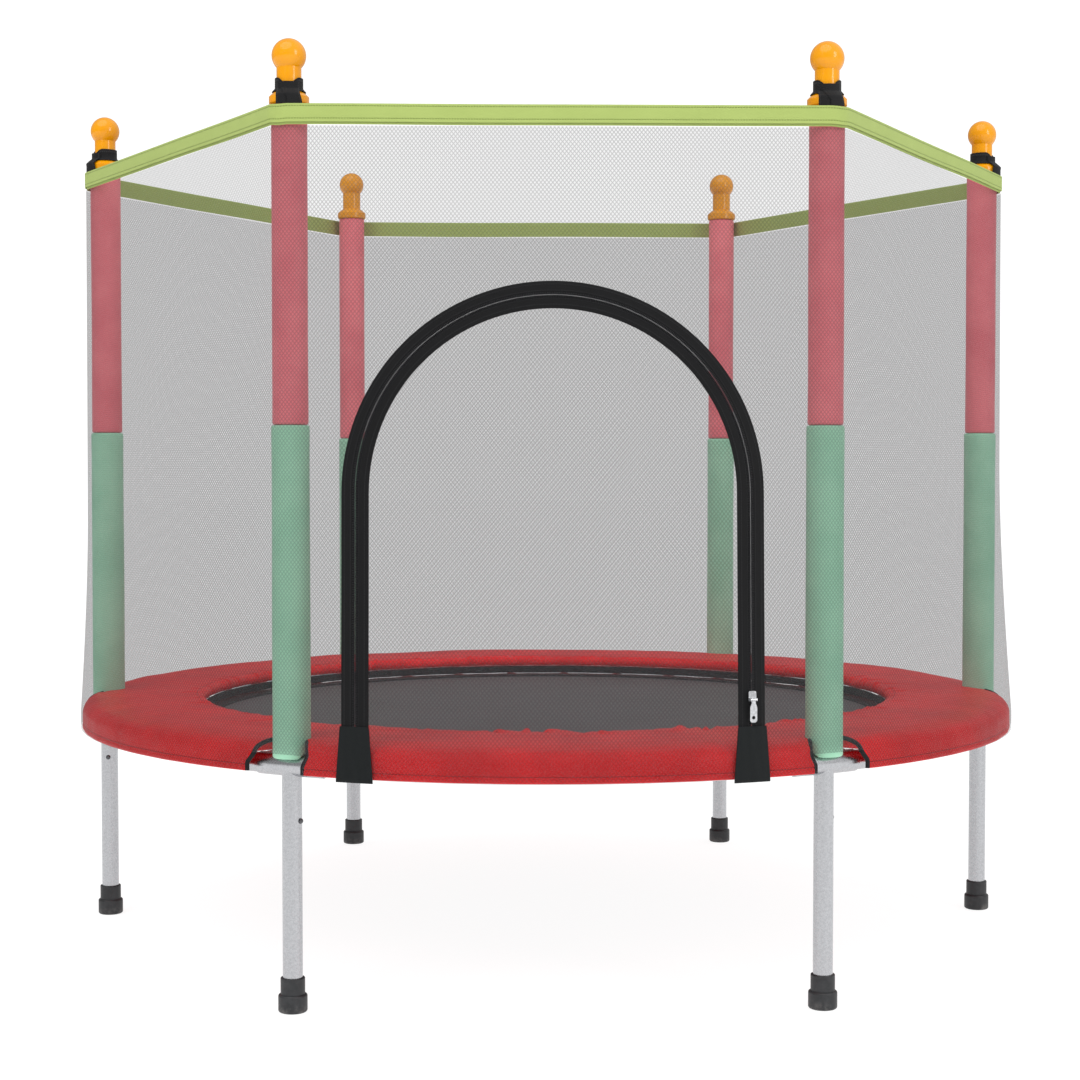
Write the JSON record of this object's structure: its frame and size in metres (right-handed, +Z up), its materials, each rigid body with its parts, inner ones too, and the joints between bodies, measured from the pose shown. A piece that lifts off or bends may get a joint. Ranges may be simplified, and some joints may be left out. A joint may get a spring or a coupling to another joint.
{
  "type": "trampoline",
  "caption": "Round children's trampoline on straight legs, with a sprung jumping mat, a padded frame and a hexagonal net enclosure on foam-covered posts, entered by a zipped arched door.",
  "frame": {"origin": "on the floor under the centre of the mat", "axes": "+Z up; the door panel faces -Y; posts and legs every 60 degrees from +X"},
  "size_m": [1.4052, 1.4043, 1.22],
  "materials": {
    "galvanised_steel": "zinc-plated tube, satin",
    "spring_steel": "zinc-plated spring wire, bright",
    "foot_rubber": "moulded, matt",
    "knob_plastic": "moulded, glossy",
    "green_foam": "closed-cell foam tube, matt",
    "red_foam": "closed-cell foam tube, matt",
    "black_webbing": "woven webbing",
    "mat_fabric": "woven polypropylene",
    "pad_vinyl": "coated fabric over foam, gathered",
    "net_mesh": "fine knitted mesh",
    "band_fabric": "woven binding",
    "zip_tape": "woven tape with a coil zip",
    "zip_metal": "plated, bright"
  },
  "bodies": {
    "frame": {"ring_rail_1": "galvanised_steel", "ring_rail_2": "galvanised_steel", "ring_rail_3": "galvanised_steel", "ring_rail_4": "galvanised_steel", "ring_rail_5": "galvanised_steel", "ring_rail_6": "galvanised_steel", "leg_socket_1": "galvanised_steel", "leg_socket_2": "galvanised_steel", "leg_socket_3": "galvanised_steel", "leg_socket_4": "galvanised_steel", "leg_socket_5": "galvanised_steel", "leg_socket_6": "galvanised_steel", "leg_tube_1": "galvanised_steel", "leg_tube_2": "galvanised_steel", "leg_tube_3": "galvanised_steel", "leg_tube_4": "galvanised_steel", "leg_tube_5": "galvanised_steel", "leg_tube_6": "galvanised_steel", "rubber_foot_1": "foot_rubber", "rubber_foot_2": "foot_rubber", "rubber_foot_3": "foot_rubber", "rubber_foot_4": "foot_rubber", "rubber_foot_5": "foot_rubber", "rubber_foot_6": "foot_rubber", "finial_1": "knob_plastic", "finial_2": "knob_plastic", "finial_3": "knob_plastic", "finial_4": "knob_plastic", "finial_5": "knob_plastic", "finial_6": "knob_plastic", "enclosure_posts": "galvanised_steel", "button_springs": "spring_steel", "lower_foam": "green_foam", "upper_foam": "red_foam", "finial_straps": "black_webbing", "tension_springs": "spring_steel", "frame_pad": "pad_vinyl", "pad_bindings": "black_webbing", "net_panel_1": "net_mesh", "net_panel_2": "net_mesh", "net_panel_3": "net_mesh", "net_panel_4": "net_mesh", "net_panel_6": "net_mesh", "net_front_panel": "net_mesh", "top_band": "band_fabric", "door_outer_tape": "zip_tape", "zip_tabs": "zip_tape"},
    "mat": {"jumping_mat": "mat_fabric", "mat_border": "black_webbing", "v_rings": "spring_steel"},
    "door": {"door_flap": "net_mesh", "door_inner_tape": "zip_tape"},
    "zip_slider": {"zip_slider": "zip_metal"},
    "zip_pull": {"zip_pull": "zip_metal"},
    "leg_button_1": {"snap_button_1": "spring_steel"},
    "leg_button_2": {"snap_button_2": "spring_steel"},
    "leg_button_3": {"snap_button_3": "spring_steel"},
    "leg_button_4": {"snap_button_4": "spring_steel"},
    "leg_button_5": {"snap_button_5": "spring_steel"},
    "leg_button_6": {"snap_button_6": "spring_steel"}
  },
  "joints": [
    {"name": "mat_bounce", "type": "slide", "parent": "frame", "child": "mat", "axis": [0, 0, 1], "range_m": [-0.1, 0], "stiffness_N_per_m": 3000, "springref_m": 0.006, "deforming": ["tension_springs"]},
    {"name": "door_fold", "type": "hinge", "parent": "frame", "child": "door", "pos_m": [0, -0.6515, 0.352], "axis": [-1, 0, 0], "range_deg": [0, 87]},
    {"name": "zip_run", "type": "slide", "parent": "frame", "child": "zip_slider", "axis": [0, 0.0663, 0.9978], "range_m": [0, 0.25]},
    {"name": "pull_swing", "type": "hinge", "parent": "zip_slider", "child": "zip_pull", "pos_m": [0.23566, -0.66485, 0.40303], "axis": [-0.9659, -0.2588, 0], "range_deg": [-8, 160]},
    {"name": "button_press_1", "type": "slide", "parent": "frame", "child": "leg_button_1", "axis": [0, 1, 0], "range_m": [-0.0035, 0], "stiffness_N_per_m": 3000, "springref_m": 0.0015, "deforming": ["button_springs"]},
    {"name": "button_press_2", "type": "slide", "parent": "frame", "child": "leg_button_2", "axis": [-0.866, 0.5, 0], "range_m": [-0.0035, 0], "stiffness_N_per_m": 3000, "springref_m": 0.0015, "deforming": ["button_springs"]},
    {"name": "button_press_3", "type": "slide", "parent": "frame", "child": "leg_button_3", "axis": [-0.866, -0.5, 0], "range_m": [-0.0035, 0], "stiffness_N_per_m": 3000, "springref_m": 0.0015, "deforming": ["button_springs"]},
    {"name": "button_press_4", "type": "slide", "parent": "frame", "child": "leg_button_4", "axis": [0, -1, 0], "range_m": [-0.0035, 0], "stiffness_N_per_m": 3000, "springref_m": 0.0015, "deforming": ["button_springs"]},
    {"name": "button_press_5", "type": "slide", "parent": "frame", "child": "leg_button_5", "axis": [0.866, -0.5, 0], "range_m": [-0.0035, 0], "stiffness_N_per_m": 3000, "springref_m": 0.0015, "deforming": ["button_springs"]},
    {"name": "button_press_6", "type": "slide", "parent": "frame", "child": "leg_button_6", "axis": [0.866, 0.5, 0], "range_m": [-0.0035, 0], "stiffness_N_per_m": 3000, "springref_m": 0.0015, "deforming": ["button_springs"]}
  ]
}
